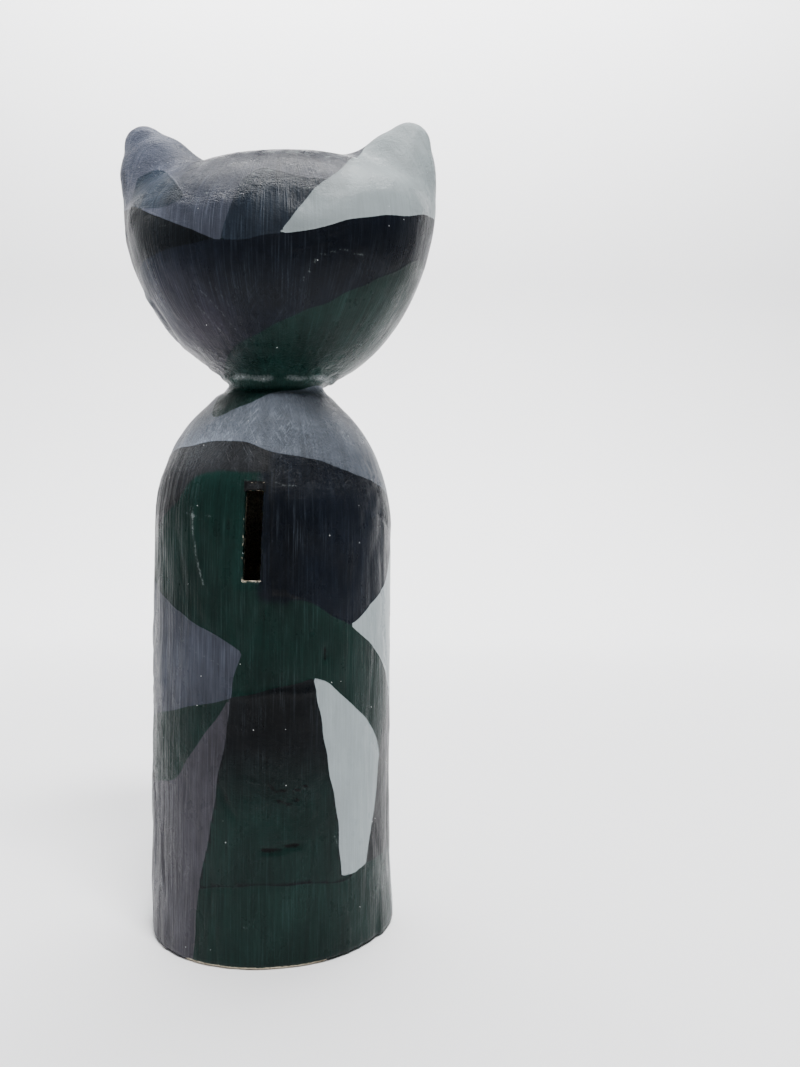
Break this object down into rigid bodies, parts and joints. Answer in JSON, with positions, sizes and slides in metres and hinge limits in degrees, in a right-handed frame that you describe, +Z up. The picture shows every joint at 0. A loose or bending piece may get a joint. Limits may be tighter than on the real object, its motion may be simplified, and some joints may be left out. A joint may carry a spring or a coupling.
{
  "type": "papier-mache cat money box",
  "caption": "Hollow standing cat in painted, varnished papier-mache: tube-shaped body, narrow neck, bowl-shaped head with pointed ears, coin slot in the back.",
  "frame": {"origin": "on the floor under the middle of the whole outline", "axes": "+Z up; the face looks along -Y and the coin slot opens along +Y"},
  "size_m": [0.1235, 0.0966, 0.3102],
  "materials": {
    "painted_paper": "satin"
  },
  "bodies": {
    "root": {"cat_shell": "painted_paper"}
  },
  "joints": []
}
